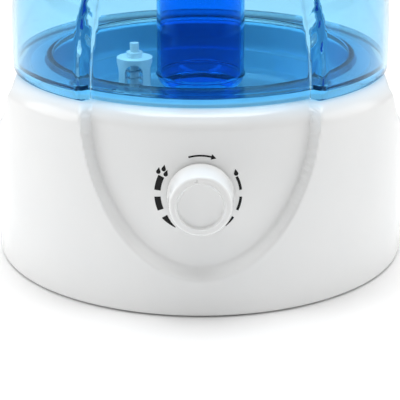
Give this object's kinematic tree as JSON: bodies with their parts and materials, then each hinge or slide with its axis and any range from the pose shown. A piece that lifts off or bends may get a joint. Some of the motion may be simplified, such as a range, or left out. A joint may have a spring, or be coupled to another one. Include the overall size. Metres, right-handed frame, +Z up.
{
  "type": "cool mist humidifier",
  "caption": "Ultrasonic cool mist humidifier: white round base with an oval front shield and knob, lift-off blue dome tank, central chimney and swivelling mist nozzle.",
  "frame": {"origin": "on the surface the humidifier stands on, under the middle of the round base", "axes": "+Z up, the knob and the shield face -Y, +X is to the right seen from the front"},
  "size_m": [0.24, 0.2528, 0.3128],
  "materials": {
    "white_abs": "glossy moulded ABS",
    "grey_abs": "satin moulded ABS",
    "white_pp": "satin moulded polypropylene",
    "grey_foam": "closed-cell foam",
    "rubber": "moulded rubber",
    "silicone": "translucent silicone rubber",
    "steel": "zinc-plated or stainless steel",
    "brass_can": "plated brass and pressed steel can",
    "piezo": "gold-faced piezo ceramic",
    "aluminium": "extruded aluminium",
    "capacitor_sleeve": "shrink sleeve over an aluminium can",
    "circuit_board": "green solder mask on glass-filled board",
    "copper": "enamelled copper wire",
    "iron_core": "laminated core, varnished",
    "black_plastic": "glass-filled moulded plastic",
    "black_ink": "pad-printed ink",
    "ferrite": "sintered ferrite",
    "blue_clear": "clear blue-tinted moulded plastic",
    "blue_deep": "clear deep-blue moulded plastic"
  },
  "bodies": {
    "base": {"base_housing": "white_abs", "bottom_cover": "grey_abs", "rubber_feet": "rubber", "cover_screws": "steel", "water_basin": "white_pp", "basin_screws": "steel", "transducer_disc": "piezo", "transducer_seal": "silicone", "transducer_plate": "aluminium", "transducer_screws": "steel", "driver_board": "circuit_board", "driver_heatsink": "aluminium", "driver_inductor": "copper", "power_board": "circuit_board", "power_transformer": "iron_core", "power_capacitor": "capacitor_sleeve", "board_screws": "steel", "fan_frame": "black_plastic", "fan_stator": "copper", "fan_screws": "steel", "air_duct": "grey_abs", "potentiometer": "brass_can", "potentiometer_nut": "steel", "dial_print": "black_ink", "cord_grommet": "rubber", "float_keeper": "white_pp", "reed_switch": "circuit_board"},
    "fan": {"fan_impeller": "black_plastic"},
    "knob": {"control_shaft": "steel", "control_knob": "white_abs"},
    "float": {"water_float": "grey_foam", "float_magnet": "ferrite"},
    "tank": {"tank_shell": "blue_clear", "tank_floor": "blue_clear", "mist_chimney": "blue_deep", "nozzle_collar": "white_abs"},
    "cap": {"tank_cap": "white_pp", "cap_seal": "silicone", "valve_cage": "white_pp", "valve_spring": "steel"},
    "valve": {"valve_plunger": "white_pp", "valve_seal": "silicone"},
    "nozzle": {"mist_nozzle": "white_abs"}
  },
  "joints": [
    {"name": "knob_turn", "type": "hinge", "parent": "base", "child": "knob", "pos_m": [0, -0.115, 0.0666], "axis": [0, 1, 0], "range_deg": [0, 300]},
    {"name": "fan_spin", "type": "hinge", "parent": "base", "child": "fan", "pos_m": [0, 0.06, 0.015], "axis": [0, 0, 1], "continuous": true},
    {"name": "float_rise", "type": "slide", "parent": "base", "child": "float", "axis": [0, 0, 1], "range_m": [0, 0.008]},
    {"name": "tank_lift", "type": "slide", "parent": "base", "child": "tank", "axis": [0, 0, 1], "range_m": [0, 0.2]},
    {"name": "nozzle_turn", "type": "hinge", "parent": "tank", "child": "nozzle", "pos_m": [0, 0, 0.28], "axis": [0, 0, 1], "continuous": true},
    {"name": "cap_turn", "type": "hinge", "parent": "tank", "child": "cap", "pos_m": [-0.037, -0.03, 0.085], "axis": [0, 0, -1], "range_deg": [0, 90]},
    {"name": "valve_close", "type": "slide", "parent": "cap", "child": "valve", "axis": [0, 0, -1], "range_m": [0, 0.004], "stiffness_N_per_m": 40, "springref_m": 0.004, "deforming": ["valve_spring"]}
  ],
  "couplings": [
    {"joint": "valve_close", "follows": "tank_lift", "ratio": 0.02}
  ]
}
